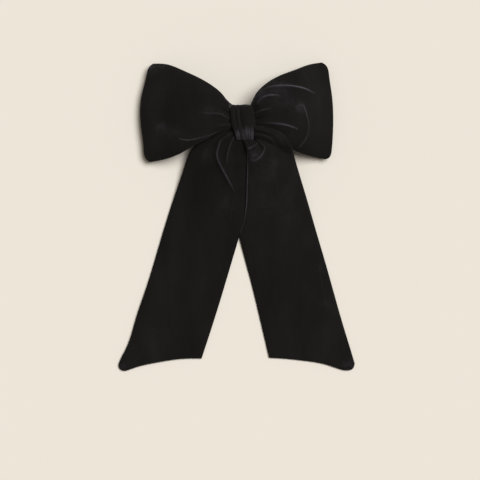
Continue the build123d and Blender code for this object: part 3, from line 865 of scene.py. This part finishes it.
LEFT_FOLDS = [
    ([(-7.5, -6.6), (-13.7, -10.7), (-18.0, -14.3), (-19.1, -17.6), (-20.4, -23), (-17.8, -32),
      (-13.2, -40.6), (-6.6, -53.2)],
     2.6, 3.2, (0.04, 0.06, 0.2, 0.3, 0.25, 0.32, 0.34, 0.25), 1.0, 0, 0.35),
    ([(-7.2, -10.5), (-9.9, -16.4), (-11.9, -22.9), (-13.6, -33)],
     1.7, 2.2, (0.1, 0.15, 0.12, 0.1), 1.0, 0, 0.2),
    ([(-3, -14), (-4.5, -22), (-4, -34)], 0.8, 2.0, 0.0, 1.0, 0, 0),
    ([(-16, -8), (-27, -18), (-36, -38)], 0.9, 5.0, 0.03, 0.6, 0, 0, 1.2),
    ([(-5, -54), (-9, -66), (-9, -80)], 0.5, 4.0, 0.03, 0.2, 0, 0, 1.2),
]
# painted sheen spots on the left tail: x, y, size and amount
LEFT_PAINTED_SHEEN_SPOTS = [
    (-27, -24, 6, 0.035), (-8, -28, 5, 0.02), (-12, -62, 8, 0.03), (-60, -120, 22, 0.01),
    (-70, -164, 12, 0.02), (-95, -190, 3, 0.06),
]
right_x, right_y, right_z, right_t, right_s, right_w = tail_grid(
    near=[(-1.5, -12.0), (4.0, -10.0), (8.2, -2.5)],
    hem=[
        (20.2, -183.1), (34.6, -184.1), (47.6, -185.5), (65.0, -188.5), (74.5, -191.7), (80.5, -193.0),
        (85.8, -191.6), (87.3, -187.6),
    ],
    inner=[
        (-1.5, -12.0), (2.2, -20), (2.6, -33), (2.0, -52), (0.9, -70), (-1.4, -80.4), (-3.4, -86.6),
        (-2.9, -90), (0.9, -105), (6.4, -125.5), (13.3, -154), (20.2, -183.1),
    ],
    outer=[
        (8.2, -2.5), (14.5, -3.6), (22, -4.8), (30, -8.0), (36.2, -15.4), (39.8, -26), (48.6, -55),
        (57.1, -84), (64.6, -109.5), (71.6, -134.5), (78.8, -159.5), (84.6, -178.5), (87.3, -187.6),
    ],
    fall=[
        (0, 17.0), (0.03, 19.0), (0.07, 19.6), (0.13, 16.6), (0.25, 9.0), (0.4, 2.8), (0.52, 1.5), (1, 1.5),
    ],
    pleats=[(0.9, 4.4, 0.2, 0.1), (0.5, 7.3, 0.6, 0.07)],
)
RIGHT_FOLDS = [
    ([(2.4, -18.5), (3.2, -26), (3.3, -40), (2.8, -54), (1.6, -70), (-2.4, -85)],
     0.7, 2.0, (0.3, 0.5, 0.65, 0.55, 0.5, 0.45), 1.0, 0.3, -0.5),
    ([(9.6, -10.5), (13.2, -15.2), (16.4, -18.8), (15.4, -22.4), (10.8, -27.8), (5.6, -29.6)],
     2.0, 2.6, (0.03, 0.06, 0.12, 0.25, 0.28, 0.1), 0.1, 0, 0.4),
    ([(-0.6, -14.5), (1.2, -18.0), (3.0, -19.6), (6.5, -18.6), (10.0, -16.3), (10.8, -14)],
     1.6, 1.5, (0.06, 0.1, 0.18, 0.2, 0.12, 0.04), 0.3, 0.3, 0),
    ([(9.6, -6.5), (14, -8.6), (21.5, -12.3), (26, -18)], 1.2, 2.4, (0.05, 0.12, 0.08), 0.5, 0, 0),
    ([(10.4, -4.6), (19, -6.6), (28, -12), (32, -22)], 1.0, 3.0, 0.06, 0.5, 0, 0),
    ([(18, -30), (24, -42), (28, -60)], 0.8, 6.0, 0.03, 0.4, 0, 0, 1.5),
    ([(57, -98), (60.5, -120), (64.5, -142), (66, -152)], 0.5, 3.0, (0.01, 0.03, 0.02), 0.0, 0, 0),
]
# painted sheen spots on the right tail: x, y, size and amount
RIGHT_PAINTED_SHEEN_SPOTS = [
    (8.5, -25, 5, 0.1), (25, -30, 6, 0.03), (17, -38, 8, 0.035), (26, -66, 13, 0.02), (12, -58, 9, 0.02),
    (28, -14, 7, 0.03), (66, -165, 10, 0.015), (83, -189, 4.5, 0.08), (52, -90, 9, 0.015),
    (59, -113, 5, 0.02), (64, -140, 5, 0.025),
]

FLOOR_REST = CLOTH / 2  # height of the cloth's middle where it lies on the table
SOFTEN = 40  # rounds of smoothing that let the cloth ease over what lies below it
GAP_ABOVE, GAP_BELOW = 0.3, 0.15  # room aimed at between a tail and the cloth above or below it

# the left tail is tucked under the left loop and eases down to the table
left_over = height_over([tree_of(left_loop)], left_x, left_y, from_above=False)
blocked = ~np.isnan(left_over)
left_top = left_over - left_t / 2 - GAP_ABOVE
tucked = np.where(blocked, left_top, left_z)
left_z = left_z + (tucked - left_z) * (1 - smooth(left_s, 0.05, 0.16))
left_z = np.clip(left_z, FLOOR_REST, np.nan_to_num(left_top, nan=np.inf))
left_z = relax(left_z, SOFTEN, FLOOR_REST, left_top)
# fold heights, and the painted highlight on the tail's crests and its painted sheen spots
left_rise, left_highlight_paint = creases(left_x, left_y, LEFT_FOLDS, LEFT_PAINTED_SHEEN_SPOTS)
clear_of_loop = smooth(relax((~blocked).astype(float), 12), 0.5, 1.0)
left_z = settle(left_x, left_y, left_z + left_rise * clear_of_loop, left_s, 11)
left_z = np.maximum(left_z, FLOOR_REST)
left_tail = cloth_shell("velvet_left_tail", np.stack([left_x, left_y, left_z], 2), left_t, left_highlight_paint)

# the right tail lies on the left one and on the right loop
LAPPED = 0.07  # share of its width that thins out where it laps the left one
lapping = 1 - smooth(right_s, 0.36, 0.5)
right_t = right_t * (1 - lapping * (1 - np.sqrt(smooth(right_w, -0.01, LAPPED))))
under = height_over([tree_of(left_tail), tree_of(right_loop)], right_x, right_y)
bed = under + right_t / 2 + GAP_BELOW
low = np.maximum(np.nan_to_num(bed, nan=FLOOR_REST), FLOOR_REST)
hug = ~np.isnan(bed) * (1 - smooth(right_w, 0.04, 0.3)) * smooth(right_s, 0.03, 0.1)
right_z = right_z + hug * (low - right_z)
right_z = relax(np.maximum(right_z, low), SOFTEN, low)
# fold heights, and the painted highlight on the tail's crests and its painted sheen spots
right_rise, right_highlight_paint = creases(right_x, right_y, RIGHT_FOLDS, RIGHT_PAINTED_SHEEN_SPOTS)
right_z = np.maximum(settle(right_x, right_y, right_z + right_rise, right_s, 17), low)
right_tail = cloth_shell("velvet_right_tail", np.stack([right_x, right_y, right_z], 2), right_t, right_highlight_paint)

# ---- what rides on what -------------------------------------------------------------
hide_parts("right_loop")
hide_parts("left_loop")
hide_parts("center_knot")
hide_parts("left_tail")
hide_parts("right_tail")
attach(right_loop, "bow")
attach(left_loop, "bow")
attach(knot, "bow")
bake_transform(left_tail)
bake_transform(right_tail)

for piece, node in (
    (pleated_core, "gathered_core"), (gather_winding, "gather_thread"), (felt_pad, "backing_pad"),
    (bar_sewing, "bar_stitches"), (seam_sewing, "knot_seam_stitches"),
):
    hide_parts(node)
    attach(piece, "bow")

# ---- camera, floor and light --------------------------------------------------------
FRAME_WIDTH = 0.3753  # what the picture takes in, at FRAME_HEIGHT above the table
FRAME_HEIGHT = 0.006
VIEW = (-0.0027, -0.0907)  # the place below the camera
CAMERA_HEIGHT = 1.6
SENSOR_WIDTH = 36.0
camera = bpy.data.objects.new("camera", bpy.data.cameras.new("camera"))
bpy.context.collection.objects.link(camera)
camera.location = (VIEW[0], VIEW[1], CAMERA_HEIGHT)
camera.data.sensor_width = SENSOR_WIDTH
camera.data.lens = SENSOR_WIDTH * (CAMERA_HEIGHT - FRAME_HEIGHT) / FRAME_WIDTH
bpy.context.scene.camera = camera

bpy.ops.mesh.primitive_plane_add(size=6.0, location=(0, 0, 0))
floor = bpy.context.object
floor.name = "studio_floor"
paper, nodes, links, shader = new_material("studio_paper")
shader.inputs["Base Color"].default_value = (0.84, 0.79, 0.715, 1)
shader.inputs["Roughness"].default_value = 0.95
shader.inputs["Specular IOR Level"].default_value = 0.0
floor.data.materials.append(paper)

SUN_FROM = (0.56, 0.38, 1.25)
sun_data = bpy.data.lights.new("soft_key", "SUN")
sun_data.energy, sun_data.angle = 2.82, math.radians(38)
sun = bpy.data.objects.new("soft_key", sun_data)
sun.rotation_euler = (-Vector(SUN_FROM)).to_track_quat("-Z", "Y").to_euler()
bpy.context.collection.objects.link(sun)
world = bpy.data.worlds.new("studio")
world.use_nodes = True
world.node_tree.nodes["Background"].inputs["Color"].default_value = (1.0, 0.92, 0.79, 1)
world.node_tree.nodes["Background"].inputs["Strength"].default_value = 0.22
bpy.context.scene.world = world
bpy.context.scene.view_settings.view_transform = "Standard"
